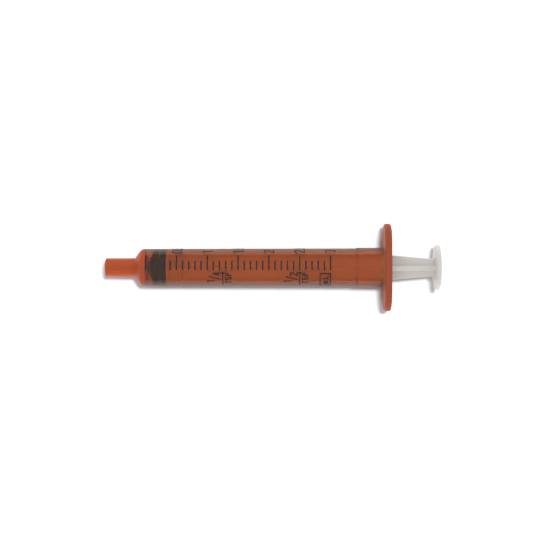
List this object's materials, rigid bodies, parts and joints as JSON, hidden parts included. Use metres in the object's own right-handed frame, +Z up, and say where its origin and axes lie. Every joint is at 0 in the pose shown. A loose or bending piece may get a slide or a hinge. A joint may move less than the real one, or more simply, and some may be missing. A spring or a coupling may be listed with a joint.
{
  "type": "oral syringe",
  "caption": "Amber oral syringe: graduated barrel with oral tip and finger flange, rubber stopper, and a cross-ribbed plunger rod that slides and turns.",
  "frame": {"origin": "centre of the oral tip's open end, on the syringe's axis", "axes": "+X along the axis from the tip to the thumb rest, +Y along the finger flange's long side, +Z up as the syringe lies on a table with its scale on top"},
  "size_m": [0.0935, 0.0244, 0.0128],
  "materials": {
    "amber_plastic": "moulded, translucent amber",
    "stopper_rubber": "moulded, satin",
    "rod_plastic": "moulded, milky white",
    "ink": "printed, matt black"
  },
  "bodies": {
    "barrel": {"barrel": "amber_plastic", "scale_lines": "ink", "scale_numerals": "ink", "teaspoon_marks": "ink", "unit_sign": "ink"},
    "stopper": {"stopper": "stopper_rubber"},
    "plunger": {"plunger_rod": "rod_plastic"}
  },
  "joints": [
    {"name": "plunger_slide", "type": "slide", "parent": "barrel", "child": "stopper", "axis": [1, 0, 0], "range_m": [-0.0016, 0.0526]},
    {"name": "rod_twist", "type": "hinge", "parent": "stopper", "child": "plunger", "pos_m": [0.016, 0, 0], "axis": [1, 0, 0], "continuous": true}
  ]
}
